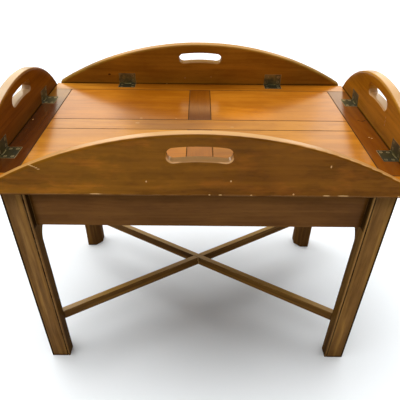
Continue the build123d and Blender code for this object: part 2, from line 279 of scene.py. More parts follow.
def wear_group():
    """Masks for rubbed outer edges, and for grime with painted shade in grooves and inner corners."""
    inputs = {"Vector": (VECTOR, None), "Edge": (FLOAT, 2.5 * MILLIMETRE), "Corner": (FLOAT, 5 * MILLIMETRE)}
    tree, start, end = new_group("Edge wear and corner shade", inputs, {"Rubbed": FLOAT, "Dirt": FLOAT})
    kind = "ShaderNodeAmbientOcclusion"
    edge = add(tree, kind, {"Distance": start["Edge"]}, samples=8, inside=True, only_local=True)
    corner = add(tree, kind, {"Distance": start["Corner"]}, samples=8)
    patches = noise(tree, start["Vector"], 4.0, 0.65, 26.0)
    rubbed = inverse(tree, edge.outputs["AO"])
    rubbed = calc(tree, "MULTIPLY", rise(tree, rubbed, 0.08, 0.45), rise(tree, patches, 0.32, 0.62))
    # Grime with painted shade, darkest where other faces hem the surface in
    corner_dirt_and_shade = rise(tree, inverse(tree, corner.outputs["AO"]), 0.12, 0.55)
    corner_dirt_and_shade = calc(tree, "MULTIPLY", corner_dirt_and_shade, between(tree, patches, 0.7, 1.0))
    finish_group(tree, end, Rubbed=rubbed, Dirt=corner_dirt_and_shade)
    return tree


def mark_group():
    """Mask of one small ragged mark, such as a chip, a knot or a dent."""
    inputs = {
        "Vector": (VECTOR, None),
        "Centre": (VECTOR, (0.0, 0.0, 0.0)),
        "Half size": (VECTOR, (1.0, 1.0, 1.0)),
        "Raggedness": (FLOAT, 0.8),
    }
    tree, start, end = new_group("Mark", inputs, {"Mask": FLOAT})
    offset = vector_calc(tree, "SUBTRACT", start["Vector"], start["Centre"])
    reach = measure(tree, "LENGTH", vector_calc(tree, "DIVIDE", offset, start["Half size"]))
    torn = calc(tree, "SUBTRACT", noise(tree, start["Vector"], 3.0, 0.6, 420.0), 0.5)
    reach = calc(tree, "MULTIPLY_ADD", torn, start["Raggedness"], reach)
    finish_group(tree, end, Mask=inverse(tree, rise(tree, reach, 0.7, 1.1)))
    return tree


def joint_group():
    """Mask of the dark line that runs round the edge of a tray board, its arris included."""
    inputs = {
        "Vector": (VECTOR, None),
        "Normal": (VECTOR, None),
        "Low": (VECTOR, (0.0, 0.0, 0.0)),
        "High": (VECTOR, (1.0, 1.0, 1.0)),
        "Width": (FLOAT, 1.6 * MILLIMETRE),
    }
    tree, start, end = new_group("Board joint", inputs, {"Line": FLOAT})
    above = axes(tree, vector_calc(tree, "SUBTRACT", start["Vector"], start["Low"]))
    below = axes(tree, vector_calc(tree, "SUBTRACT", start["High"], start["Vector"]))
    nearest_x = calc(tree, "MINIMUM", above["X"], below["X"])
    nearest = calc(tree, "MINIMUM", nearest_x, calc(tree, "MINIMUM", above["Y"], below["Y"]))
    worn = between(tree, noise(tree, start["Vector"], 3.0, 0.6, 60.0), 0.6, 1.4)
    line = rise(tree, calc(tree, "DIVIDE", nearest, calc(tree, "MULTIPLY", start["Width"], worn)), 0.35, 1.0)
    up = axes(tree, start["Normal"])["Z"]
    flat = rise(tree, up, 0.9, 0.98)
    finish_group(tree, end, Line=inverse(tree, calc(tree, "MULTIPLY", line, flat)))
    return tree


# How far below a leg's face its groove and corners lie
SKIN = 2.5 * MILLIMETRE


def moulding_group():
    """Masks of a leg's painted shade in grooves, corners and inner faces, and of its beads' wear and painted
    highlight.
    """
    inputs = {
        "Vector": (VECTOR, None),
        "Normal": (VECTOR, None),
        "Inner": (VECTOR, (0.0, 0.0, 0.0)),
        "Outer": (VECTOR, (1.0, 1.0, 1.0)),
        "Bead": (FLOAT, 3.2 * MILLIMETRE),
        "Groove": (FLOAT, 2.3 * MILLIMETRE),
        "Corner": (FLOAT, 4.5 * MILLIMETRE),
        "Apron foot": (FLOAT, 0.35),
    }
    tree, start, end = new_group("Leg moulding", inputs, {"Dark": FLOAT, "Pale": FLOAT, "Inside": FLOAT})
    spread = axes(tree, vector_calc(tree, "ABSOLUTE", start["Vector"]))
    outward = vector_calc(tree, "MULTIPLY", vector_calc(tree, "SIGN", start["Vector"]), start["Normal"])
    outward = axes(tree, outward)
    inner = axes(tree, start["Inner"])
    outer = axes(tree, start["Outer"])
    groove_end = calc(tree, "ADD", start["Bead"], start["Groove"])
    dark, pale = [], []
    for run, face in (("X", "Y"), ("Y", "X")):
        on_face = calc(tree, "GREATER_THAN", spread[face], calc(tree, "SUBTRACT", outer[face], SKIN))
        in_bead = calc(tree, "SUBTRACT", spread[run], inner[run])
        past_bead = calc(tree, "GREATER_THAN", in_bead, start["Bead"])
        in_groove = calc(tree, "MULTIPLY", past_bead, calc(tree, "LESS_THAN", in_bead, groove_end))
        from_corner = calc(tree, "DIVIDE", calc(tree, "SUBTRACT", outer[run], spread[run]), start["Corner"])
        # Painted shade along the outer corner
        corner = calc(tree, "MULTIPLY", inverse(tree, rise(tree, from_corner, 0.65, 1.0)), 0.95)
        dark.append(calc(tree, "MULTIPLY", on_face, calc(tree, "MAXIMUM", in_groove, corner)))
        # The bead is paler by wear and a painted highlight
        pale.append(calc(tree, "MULTIPLY", on_face, inverse(tree, past_bead)))
    # Painted shade on the inner faces, deeper beside the apron
    inward = rise(tree, calc(tree, "MINIMUM", outward["X"], outward["Y"]), -0.3, -0.6)
    beside_apron = calc(tree, "GREATER_THAN", spread["Z"], start["Apron foot"])
    finish_group(
        tree,
        end,
        Dark=calc(tree, "MAXIMUM", *dark),
        Pale=calc(tree, "MAXIMUM", *pale),
        Inside=calc(tree, "MULTIPLY", inward, between(tree, beside_apron, 0.5, 0.85)),
    )
    return tree


def polish_group():
    """Smears in the polish, streaks along the grain painted as a pale sheen, and the slight waves of a
    hand-rubbed face.
    """
    inputs = {"Vector": (VECTOR, None), "Along": (VECTOR, None)}
    tree, start, end = new_group("Hand polish", inputs, {"Smears": FLOAT, "Streaks": FLOAT, "Waves": FLOAT})
    smears = noise(tree, start["Vector"], 5.0, 0.6, 9.0)
    streaks = noise(tree, stretched(tree, start["Along"], (3.0, 70.0, 70.0)), 3.0, 0.55)
    streaks = rise(tree, streaks, 0.45, 0.7)
    waves = noise(tree, start["Vector"], 1.0, 0.4, 14.0)
    finish_group(tree, end, Smears=smears, Streaks=streaks, Waves=waves)
    return tree


def patina_group():
    """Tarnish, dark patches and small pits of old brass."""
    inputs = {"Vector": (VECTOR, None)}
    tree, start, end = new_group("Patina", inputs, {"Tarnish": FLOAT, "Patches": FLOAT, "Pits": FLOAT})
    tarnish = noise(tree, start["Vector"], 5.0, 0.65, 160.0)
    patches = rise(tree, noise(tree, start["Vector"], 4.0, 0.6, 55.0), 0.42, 0.62)
    pits = rise(tree, noise(tree, start["Vector"], 2.0, 0.5, 700.0), 0.6, 0.75)
    finish_group(tree, end, Tarnish=tarnish, Patches=patches, Pits=pits)
    return tree


def facing_group():
    """Mask of the faces that look a given way."""
    inputs = {
        "Normal": (VECTOR, None),
        "Way": (VECTOR, AXIS["Z"]),
        "Start": (FLOAT, 0.3),
        "Full": (FLOAT, 0.7),
    }
    tree, start, end = new_group("Facing", inputs, {"Mask": FLOAT})
    towards = measure(tree, "DOT_PRODUCT", start["Normal"], start["Way"])
    finish_group(tree, end, Mask=rise(tree, towards, start["Start"], start["Full"]))
    return tree


def drift_group():
    """Mask that grows along an axis."""
    inputs = {
        "Vector": (VECTOR, None),
        "Axis": (VECTOR, AXIS["X"]),
        "Start": (FLOAT, 0.0),
        "Full": (FLOAT, 1.0),
    }
    tree, start, end = new_group("Drift", inputs, {"Mask": FLOAT})
    along = measure(tree, "DOT_PRODUCT", start["Vector"], start["Axis"])
    finish_group(tree, end, Mask=rise(tree, along, start["Start"], start["Full"]))
    return tree


def patch_group():
    """Mask of a soft patch around a centre, out to its half size along each axis."""
    inputs = {
        "Vector": (VECTOR, None),
        "Centre": (VECTOR, (0.0, 0.0, 0.0)),
        "Half size": (VECTOR, (1.0, 1.0, 1.0)),
    }
    tree, start, end = new_group("Soft patch", inputs, {"Mask": FLOAT})
    offset = vector_calc(tree, "SUBTRACT", start["Vector"], start["Centre"])
    reach = measure(tree, "LENGTH", vector_calc(tree, "DIVIDE", offset, start["Half size"]))
    finish_group(tree, end, Mask=rise(tree, reach, 1.0, 0.35))
    return tree


def mottle_group():
    """Mask of soft patches all over, with the noise scale along each axis."""
    inputs = {
        "Vector": (VECTOR, None),
        "Scale": (VECTOR, (1.0, 1.0, 1.0)),
        "Start": (FLOAT, 0.5),
        "Full": (FLOAT, 0.6),
    }
    tree, start, end = new_group("Mottle", inputs, {"Mask": FLOAT})
    patches = noise(tree, stretched(tree, start["Vector"], start["Scale"]), 4.0, 0.65)
    finish_group(tree, end, Mask=rise(tree, patches, start["Start"], start["Full"]))
    return tree


def shelf_shade_group():
    """Painted shade, dark just under the tray. Start and Full are depths below Top."""
    inputs = {
        "Vector": (VECTOR, None),
        "Top": (FLOAT, 0.4),
        "Start": (FLOAT, 44 * MILLIMETRE),
        "Full": (FLOAT, 15 * MILLIMETRE),
    }
    tree, start, end = new_group("Shade under the tray", inputs, {"Dark": FLOAT})
    depth = calc(tree, "SUBTRACT", start["Top"], axes(tree, start["Vector"])["Z"])
    finish_group(tree, end, Dark=rise(tree, depth, start["Start"], start["Full"]))
    return tree


def crown_group():
    """Upper edge paled by wear and a painted highlight, as far as Share says, of which Tips is left at its
    ends.

    The tips begin and are full at shares of Half length. A hand hole's faces lie within Half hole of the
    middle and below Hole top. Its lower side is as pale as Lip says, and the rounding beside that has a
    painted highlight, as strong as Arris says at the ends of the hole.
    """
    inputs = {
        "Vector": (VECTOR, None),
        "Normal": (VECTOR, None),
        "Axis": (VECTOR, AXIS["X"]),
        "Share": (FLOAT, 1.0),
        "Half length": (FLOAT, 1.0),
        "Tips": (FLOAT, 1.0),
        "Tip start": (FLOAT, 0.436),
        "Tip full": (FLOAT, 0.81),
        "Half hole": (FLOAT, 0.0),
        "Hole top": (FLOAT, 0.0),
        "Lip": (FLOAT, 1.0),
        "Arris": (FLOAT, HOLE_RUB_AND_HIGHLIGHT),
    }
    tree, start, end = new_group("Crown wear and highlight", inputs, {"Pale": FLOAT})
    up = axes(tree, start["Normal"])["Z"]
    spread = vector_calc(tree, "ABSOLUTE", start["Vector"])
    along = measure(tree, "DOT_PRODUCT", spread, start["Axis"])
    near_middle = calc(tree, "LESS_THAN", along, start["Half hole"])
    low = calc(tree, "LESS_THAN", axes(tree, spread)["Z"], start["Hole top"])
    in_hole = calc(tree, "MULTIPLY", near_middle, low)
    least = calc(tree, "MULTIPLY", start["Share"], 0.7)
    patches = between(tree, noise(tree, start["Vector"], 4.0, 0.6, 14.0), start["Share"], least)
    # Upward faces: paled by wear and by a painted highlight from the light above
    level = rise(tree, up, 0.8, 0.97)
    pale = calc(tree, "MULTIPLY", level, patches)
    pale = calc(tree, "MULTIPLY", pale, between(tree, in_hole, 1.0, start["Lip"]))
    outwards = calc(tree, "DIVIDE", along, start["Half length"])
    tip = rise(tree, outwards, start["Tip start"], start["Tip full"])
    pale = calc(tree, "MULTIPLY", pale, between(tree, tip, 1.0, start["Tips"]))
    # Painted highlight on the rounding of the hand hole's lower side
    rounding = calc(tree, "MULTIPLY", rise(tree, up, 0.25, 0.5), inverse(tree, level))
    rounding = calc(tree, "MULTIPLY", rounding, in_hole)
    near_end = calc(tree, "MULTIPLY", start["Half hole"], 0.4)
    hole_end = rise(tree, along, near_end, calc(tree, "MULTIPLY", start["Half hole"], 0.65))
    rounding = calc(tree, "MULTIPLY", rounding, between(tree, hole_end, HOLE_RUB_AND_HIGHLIGHT, start["Arris"]))
    finish_group(tree, end, Pale=calc(tree, "MAXIMUM", pale, rounding))
    return tree


def group(name, make):
    """The node group of that name, made the first time that it is asked for."""
    return bpy.data.node_groups.get(name) or make()


def use(tree, name, make, **inputs):
    """Outputs of a node group placed in a tree; its input names have spaces for the underscores."""
    node = add(tree, "ShaderNodeGroup", node_tree=group(name, make))
    plug(tree, node, {key.replace("_", " "): value for key, value in inputs.items()})
    return node.outputs


def new_material(name):
    """Material with an empty node tree, its Principled shader and its object coordinates."""
    material = bpy.data.materials.new(name)
    material.use_nodes = True
    tree = material.node_tree
    tree.nodes.clear()
    shader = add(tree, "ShaderNodeBsdfPrincipled")
    add(tree, "ShaderNodeOutputMaterial", {"Surface": shader.outputs[0]})
    place = add(tree, "ShaderNodeTexCoord").outputs["Object"]
    return material, tree, shader, place


def turned(tree, place, order, angle, shift):
    """Coordinates with the board's length first, its width second and its thickness last."""
    flat = add(tree, "ShaderNodeMapping", {"Vector": place, "Rotation": (0.0, 0.0, angle)}).outputs[0]
    parts = axes(tree, flat)
    inputs = {i: parts[letter] for i, letter in enumerate(order)}
    ordered = add(tree, "ShaderNodeCombineXYZ", inputs).outputs[0]
    return vector_calc(tree, "ADD", ordered, shift)


def relief(tree, radius, strength, distance, height):
    """Normal with softened edges and a fine relief."""
    soft = add(tree, "ShaderNodeBevel", {"Radius": radius}, samples=4).outputs[0]
    inputs = {"Strength": strength, "Distance": distance, "Height": height, "Normal": soft}
    return add(tree, "ShaderNodeBump", inputs).outputs[0]


def toned(finish, tone):
    """The same finish with its red, green and blue made darker or lighter."""
    tone = Vector(tone)
    return finish._replace(light=Vector(finish.light) * tone, dark=Vector(finish.dark) * tone)


# Dark and pale places of a board, each as a function that gives how dark and how pale; the dark places
# are joint lines and painted shade, and the pale places wear and painted highlights
def plain(tree, board):
    """No dark or pale places."""
    return 0.0, 0.0


def joints(past, share):
    """Dark lines round the face that a tray board shows, as dark as the share says.

    The board's box goes past the lines by its tongues.
    """
    def masks(tree, board):
        found = use(
            tree,
            "Board joint",
            joint_group,
            Vector=board.place,
            Normal=board.facing,
            Low=board.low + past,
            High=board.high - past,
        )
        return calc(tree, "MULTIPLY", found["Line"], share), 0.0
    return masks


def shaded(share):
    """Painted shade, darker towards the board's top, as far as the share says."""
    def masks(tree, board):
        found = use(tree, "Shade under the tray", shelf_shade_group, Vector=board.place, Top=board.high.z)
        return calc(tree, "MULTIPLY", found["Dark"], share), 0.0
    return masks


# How dark the painted shade on a leg is under the tray, and how pale its beads are by wear and a painted
# highlight
LEG_SHADE = 0.4
BEAD_RUB_AND_HIGHLIGHT = 0.08


def mouldings(inner, outer, apron_foot):
    """Painted shade in a leg's grooves, on its corners, its top and its inner faces, and beads paled by wear
    and a painted highlight.
    """
    def masks(tree, board):
        found = use(
            tree,
            "Leg moulding",
            moulding_group,
            Vector=board.place,
            Normal=board.facing,
            Inner=inner,
            Outer=outer,
            Apron_foot=apron_foot,
        )
        dark = calc(tree, "MAXIMUM", found["Dark"], found["Inside"])
        shade = shaded(LEG_SHADE)(tree, board)[0]
        return calc(tree, "MAXIMUM", dark, shade), calc(tree, "MULTIPLY", found["Pale"], BEAD_RUB_AND_HIGHLIGHT)
    return masks


# The faces of a hand hole lie further than this below the flap's top, and nearer than this to its middle
HOLE_DEPTH = 12 * MILLIMETRE
HOLE_HALF = 56 * MILLIMETRE


def crown(run="X", **values):
    """Upper edge paled by wear and a painted highlight, with the values of the crown's group."""
    def masks(tree, board):
        found = use(
            tree,
            "Crown wear and highlight",
            crown_group,
            Vector=board.place,
            Normal=board.facing,
            Axis=AXIS[run],
            Half_length=(board.high - board.low).dot(AXIS[run]) / 2,
            Hole_top=board.high.z - HOLE_DEPTH,
            **values,
        )
        return 0.0, found["Pale"]
    return masks


# Tints of a board, each as a function that gives where and which tone
def within(tree, board):
    """Coordinates over a board as shares of its half sizes, from -1 to 1 along each axis."""
    offset = vector_calc(tree, "SUBTRACT", board.place, (board.low + board.high) / 2)
    return vector_calc(tree, "DIVIDE", offset, (board.high - board.low) / 2)


def drift(tree, vector, run, start, full):
    """Mask that grows along an axis."""
    return use(tree, "Drift", drift_group, Vector=vector, Axis=AXIS[run], Start=start, Full=full)["Mask"]


def along_board(run, start, full, tone):
    """Tone that a board's colour drifts to along an axis."""
    def tint(tree, board):
        return drift(tree, within(tree, board), run, start, full), tone
    return tint


def to_both_ends(run, start, full, tone):
    """Tone that a board's colour drifts to towards both its ends."""
    def tint(tree, board):
        spread = vector_calc(tree, "ABSOLUTE", within(tree, board))
        return drift(tree, spread, run, start, full), tone
    return tint


def around(centre, half, tone):
    """Tone of a soft patch around a centre, out to its half size along each axis."""
    def tint(tree, board):
        shares = within(tree, board)
        found = use(tree, "Soft patch", patch_group, Vector=shares, Centre=centre, Half_size=half)
        return found["Mask"], tone
    return tint


def mottled(scale, start, full, tone):
    """Tone of soft patches, given the noise scale along each axis and where a patch begins and is full."""
    def tint(tree, board):
        found = use(tree, "Mottle", mottle_group, Vector=board.place, Scale=scale, Start=start, Full=full)
        return found["Mask"], tone
    return tint


def outer_face(way, tone):
    """Tone of the face that looks the given way, out from the table."""
    def tint(tree, board):
        return use(tree, "Facing", facing_group, Normal=board.facing, Way=way)["Mask"], tone
    return tint


# How much the streaks darken a board, and each finer part with its middle value and how much it darkens
STREAK_WEIGHT = 0.6
FINE_GRAIN = (("Fibres", 0.5, 0.2), ("Clouds", 0.3, 0.25))


def grain_colour(tree, finish, grain, polish):
    """Colour of a board's rings, streaks, fibres, pores and clouds, with a painted sheen in streaks along
    the polish.
    """
    light, dark = Vector(finish.light), Vector(finish.dark)
    tone = calc(tree, "MULTIPLY", grain["Streaks"], STREAK_WEIGHT)
    tone = calc(tree, "MULTIPLY_ADD", grain["Rings"], finish.figure, tone)
    for part, middle, weight in FINE_GRAIN:
        tone = calc(tree, "MULTIPLY_ADD", calc(tree, "SUBTRACT", grain[part], middle), weight, tone)
    colour = mix(tree, rise(tree, tone, 0.05, 0.85), solid(light), solid(dark))
    colour = mix(tree, calc(tree, "MULTIPLY", grain["Pores"], 0.3), colour, solid(dark * 0.45))
    colour = mix(tree, calc(tree, "MULTIPLY", grain["Clouds"], 0.35), colour, solid(dark * 0.9))
    # Painted sheen: paler streaks where the polish catches the light
    sheen_streak_colour = light * 1.55 + Vector((0.022, 0.018, 0.002))
    return mix(tree, calc(tree, "MULTIPLY", polish["Streaks"], finish.streaks), colour, solid(sheen_streak_colour))


def wood(name, finish, order, number, angle=0.0, places=plain, marks=(), tints=(), reach=5 * MILLIMETRE):
    """Polished wood of the board of that name, with its dark and pale places, marks and tints.

    The number shifts its grain, and reach is how far the grime and painted shade spread from the corners.
    """
    settings = bpy.context.scene.butler_table_wood
    material, tree, shader, place = new_material(name)
    facing = tree.nodes["Texture Coordinate"].outputs["Normal"]
    board = Board(place, facing, *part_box(name))
    dark = Vector(finish.dark)
    shift = (0.83 * number, 0.017 * (number % 5 - 2), 0.013 * (number % 3))
    along = turned(tree, place, order, angle, shift)
    grain = use(tree, "Wood grain", grain_group, Vector=along, Ring_gap=settings.ring_gap)
    wear = use(tree, "Edge wear and corner shade", wear_group, Vector=place, Corner=reach)
    polish = use(tree, "Hand polish", polish_group, Vector=place, Along=along)
    dark_and_shaded_places, worn_and_lit_places = places(tree, board)
    under = use(tree, "Facing", facing_group, Normal=facing, Way=-AXIS["Z"], Start=0.6, Full=0.9)["Mask"]

    colour = grain_colour(tree, finish, grain, polish)
    for tint in tints:
        share, tone = tint(tree, board)
        colour = mix(tree, share, colour, solid(tone), "MULTIPLY")
    # Darkening from corner grime with painted shade, tray joint lines, and painted shade under the tray and
    # on the legs
    grime_joints_and_shade = calc(tree, "MAXIMUM", calc(tree, "MULTIPLY", wear["Dirt"], 0.9), dark_and_shaded_places)
    rubbed = calc(tree, "MULTIPLY", wear["Rubbed"], settings.wear * finish.wear)
    colour = mix(tree, grime_joints_and_shade, colour, solid(dark * 0.1))
    colour = mix(tree, worn_and_lit_places, colour, solid(finish.crown or settings.crown))
    colour = mix(tree, rubbed, colour, solid(settings.worn))
    colour = mix(tree, calc(tree, "MULTIPLY", under, 0.6), colour, solid(settings.bare))
    for mark in marks:
        mask = use(tree, "Mark", mark_group, Vector=place, Centre=mark.centre, Half_size=mark.half)["Mask"]
        paint = settings.worn if mark.paint == "chip" else dark * 0.3
        colour = mix(tree, mask, colour, solid(paint))

    bare = calc(tree, "MAXIMUM", calc(tree, "MAXIMUM", grime_joints_and_shade, rubbed), under)
    coat = between(tree, polish["Smears"], finish.polish, finish.polish * 0.8)
    coat = calc(tree, "MAXIMUM", coat, worn_and_lit_places)
    coat = calc(tree, "MULTIPLY", coat, settings.polish)
    coat = calc(tree, "MULTIPLY", coat, inverse(tree, bare))
    height = calc(tree, "MULTIPLY_ADD", grain["Pores"], -0.5, calc(tree, "MULTIPLY", grain["Fibres"], 0.35))
    height = calc(tree, "MULTIPLY_ADD", polish["Waves"], 3.0, height)
    plug(tree, shader, {
        "Base Color": colour,
        "Roughness": between(tree, polish["Smears"], 0.36, 0.52),
        "Coat Weight": coat,
        "Normal": relief(tree, 0.7 * MILLIMETRE, 0.35, 0.12 * MILLIMETRE, height),
        "Specular IOR Level": 0.0,
        "Coat Roughness": finish.gloss,
        "Coat IOR": 1.55,
    })
    return material


def brass(name, colour, rub, roughness, shade=1.0):
    """Old brass, bright on the edges and dark on the flats. Its shade darkens all its colours; on the flap
    leaves it is painted shade that differs from side to side.
    """
    settings = bpy.context.scene.butler_table_brass
    material, tree, shader, place = new_material(name)
    patina = use(tree, "Patina", patina_group, Vector=place)
    wear = use(tree, "Edge wear and corner shade", wear_group, Vector=place, Edge=0.9 * MILLIMETRE, Corner=2 * MILLIMETRE)
    tarnished, verdigris = Vector(settings.tarnished), Vector(settings.verdigris)
    paint = mix(tree, patina["Tarnish"], solid(Vector(colour) * shade), solid(tarnished * shade))
    patches = calc(tree, "MULTIPLY", patina["Patches"], 0.75)
    paint = mix(tree, patches, paint, solid(verdigris * shade))
    paint = mix(tree, calc(tree, "MULTIPLY", wear["Dirt"], 0.8), paint, solid(verdigris * 0.4))
    height = calc(tree, "MULTIPLY_ADD", patina["Pits"], -0.6, patina["Tarnish"])
    plug(tree, shader, {
        "Base Color": mix(tree, calc(tree, "MULTIPLY", wear["Rubbed"], rub), paint, solid(settings.bright)),
        "Metallic": between(tree, patina["Patches"], 1.0, 0.6),
        "Roughness": between(tree, patina["Tarnish"], roughness, roughness + 0.22),
        "Normal": relief(tree, 0.25 * MILLIMETRE, 0.4, 0.1 * MILLIMETRE, height),
    })
    return material


def dress(node, material):
    """Puts one material over a whole CAD node."""
    mesh = frame["nodes"][node].data
    mesh.materials.clear()
    mesh.materials.append(material)


# Tones of the tray's boards beside the tray's colour; the side stiles' dark tones are partly cross grain and
# partly painted shade from the side flaps
TRAY_TONE = {
    "tray_centre_rail": (1.05, 1.15, 1.3),
    "tray_front_left_panel": (1.14, 1.3, 1.4),
    "tray_front_right_panel": (1.05, 1.15, 1.2),
    "tray_back_rail": (0.95, 0.95, 0.95),
    "tray_front_rail": (0.95, 0.95, 0.95),
    "tray_left_stile": (0.21, 0.145, 0.02),
    "tray_right_stile": (0.41, 0.32, 0.02),
    "tray_back_centre_stile": (0.47, 0.4, 0.3),
    "tray_front_centre_stile": (0.5, 0.44, 0.35),
    "tray_back_left_panel": (1.0, 1.0, 1.0),
    "tray_back_right_panel": (1.0, 1.0, 1.0),
}
# Tints of the tray's boards that paint reflections in the polish and the shade of the flaps, as shares of
# its half sizes
TRAY_SHEEN_AND_SHADE = {
    "tray_left_stile": [along_board("Y", 0.465, 0.765, (2.9, 4.9, 42.0))],
    "tray_right_stile": [along_board("Y", 0.465, 0.765, (1.17, 1.42, 13.0))],
    "tray_centre_rail": [around((-0.188, 0.0, 1.0), (0.341, 2.86, 13.0), (0.6, 0.53, 0.4))],
    "tray_back_centre_stile": [along_board("Y", -0.219, -0.811, (0.55, 0.42, 0.1))],
    "tray_back_left_panel": [
        along_board("X", -0.331, 0.101, (0.76, 0.7, 0.4)),
        along_board("Y", -0.101, -0.811, (0.95, 0.92, 0.8)),
    ],
    "tray_back_right_panel": [around((-0.388, -0.574, 1.0), (0.504, 0.592, 13.0), (1.22, 1.2, 1.0))],
    "tray_back_rail": [
        around((-0.091, -0.263, 1.0), (0.457, 5.26, 13.0), (0.74, 0.7, 0.6)),
        along_board("X", -0.549, -0.793, (1.2, 1.4, 2.2)),
    ],
    "tray_front_left_panel": [around((0.964, -0.373, 1.0), (1.151, 0.828, 13.0), (0.8, 0.64, 0.15))],
    "tray_front_right_panel": [around((-0.964, -0.373, 1.0), (1.151, 0.828, 13.0), (0.56, 0.44, 0.1))],
    "tray_front_centre_stile": [around((0.0, -0.254, 1.0), (7.27, 0.828, 13.0), (1.36, 1.3, 0.14))],
}
# How far a tray board's tongues run into its neighbours
TONGUE = 7 * MILLIMETRE
# How dark the lines round the tray's boards are, and round the centre stiles
JOINT_LINE = 0.9
FAINT_LINE = 0.45
# Marks on the tray's upper face: place from the tray's middle and half sizes, in millimetres, and paint
TRAY_MARKS = {
    "tray_back_left_panel": [(-114, 27, 3.0, 0.9, "chip"), (-46, 26, 2.0, 0.6, "chip")],
    "tray_centre_rail": [(-119, 5, 4.5, 0.9, "chip"), (61, -9, 4.0, 0.8, "chip")],
    "tray_front_right_panel": [(52, -18, 2.5, 0.8, "chip")],
    "tray_right_stile": [
        *((316 + x, 22 + 0.12 * x * x, 2.4, 1.3, "stain") for x in (-6, -3, 0, 3, 6)),
        (311, -49.6, 1.6, 1.6, "chip"),
        (307.5, -46, 1.8, 1.2, "chip"),
    ],
    "tray_left_stile": [(-321.3, 15.5, 1.6, 2.4, "chip"), (-321, 24, 3.0, 1.5, "stain")],
}
# Looks of the flaps, with the places of their tints as shares of a flap's half sizes. Their tones are partly
# painted light: the right flap lighter and the left darker, as light from the left makes them, and the inner
# faces lighter than the outer ones. Their crown colours are partly wear and partly a painted highlight, and
# their leaf shades are painted shade on the hinge leaves.
FLAP_LOOKS = {
    "front": FlapLook(
        tone=(1.5, 1.85, 2.4),
        polish=0.12,
        leaf_shade=0.8,
        lip=0.5,
        arris=1.3,
        tints=[
            along_board("X", -0.685, 0.498, (0.84, 0.77, 0.9)),
            mottled((14.0, 30.0, 45.0), 0.48, 0.62, (0.8, 0.8, 0.75)),
            mottled((11.0, 30.0, 38.0), 0.5, 0.64, (1.3, 1.2, 1.4)),
        ],
    ),
    "back": FlapLook(
        tone=(1.5, 1.85, 2.4),
        polish=0.26,
        leaf_shade=0.9,
        crown_share=0.66,
        tips=0.15,
        lip=0.7,
        tints=[to_both_ends("X", 0.53, 0.748, (0.74, 0.8, 1.0))],
    ),
    "left": FlapLook(tone=(1.0, 0.95, 0.8), polish=0.2, leaf_shade=0.35, crown=(0.74, 0.50, 0.27)),
    "right": FlapLook(tone=(1.75, 2.05, 1.9), polish=0.26, leaf_shade=0.5, crown=(0.72, 0.42, 0.18)),
}
# Tone of the flaps' outer faces, darker than the inner faces, whose tones carry painted light
OUTER_TONE = (0.76, 0.77, 0.65)
# Place along the front flap and half length of the chips along its foot, in millimetres
FOOT_CHIPS = ((-150, 9), (14.5, 1.4), (30, 2.6), (75, 1.6), (184, 5.5), (209, 8.5), (289, 1.6))
# Marks on the flaps: place along the flap and above its hinge line and half sizes, in millimetres, face
# and paint
FLAP_MARKS = {
    "front": [
        *((along, -0.3, half, 1.0, "outer", "chip") for along, half in FOOT_CHIPS),
        *((along, up, 1.2, 1.5, "outer", "chip") for along, up in ((-76, 20.6), (44.6, 22), (136, 1.6))),
        (183.4, 46, 0.9, 2.0, "outer", "chip"),
        *((-240 + 2.8 * i, 44 - 0.22 * i * i, 2.2, 0.65, "outer", "chip") for i in range(6)),
    ],
    "back": [
        (-206.4, 22.8, 3.6, 2.4, "inner", "stain"),
        (-34.4, 16, 1.4, 1.2, "inner", "chip"),
        (25.2, 19, 1.4, 1.2, "inner", "chip"),
        (-76.4, 1, 2.0, 1.0, "inner", "chip"),
    ],
    "right": [(-52, 29 + 7 * i, 0.8, 2.6, "inner", "chip") for i in range(3)],
    "left": [],
}
# How far behind the hinge line the marks on each face of a flap lie
MARK_DEPTH = {"inner": -1 * MILLIMETRE, "outer": 17 * MILLIMETRE}
APRON_TONE = (1.05, 0.92, 0.75)
# How dark the painted shade under the tray is on the aprons
APRON_SHADE = 0.6
BAR_TONE = (0.95, 0.95, 0.8)
# How far the painted highlight covers the stretchers' tops
BAR_CROWN = 0.78
LEG_TONE = {"front": (1.1, 1.12, 1.15), "back": (1.35, 1.28, 1.3)}
LEG_MOTTLE = mottled((110.0, 110.0, 10.0), 0.5, 0.62, (1.18, 1.2, 1.15))
# Painted reflections: pale streaks along the fronts of the legs, as shares of a leg's half sizes
LEG_SHEEN = {
    "front_left_leg": [around((-0.053, -1.0, 0.195), (0.579, 2.63, 1.195), (1.1, 1.15, 1.4))],
    "front_right_leg": [around((0.158, -1.0, 0.241), (0.632, 2.63, 1.655), (1.35, 1.4, 1.4))],
}


def tray_marks(node, depth=1 * MILLIMETRE):
    """Marks of one tray board, on its upper face."""
    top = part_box(node)[1].z
    found = []
    for x, y, half_x, half_y, paint in TRAY_MARKS.get(node, ()):
        centre = Vector((x * MILLIMETRE, y * MILLIMETRE, top))
        half = Vector((half_x * MILLIMETRE, half_y * MILLIMETRE, depth))
        found.append(Mark(centre, half, paint))
    return found


def hinge_line(side):
    """Middle and direction of the axis that a flap turns about, and how far it leans in."""
    joint = next(j for j in frame["joints"] if j["name"] == f"{side}_flap_fold")
    return Vector(joint["pos_m"]), Vector(joint["axis"]), math.radians(joint["range_deg"][1] - 90)


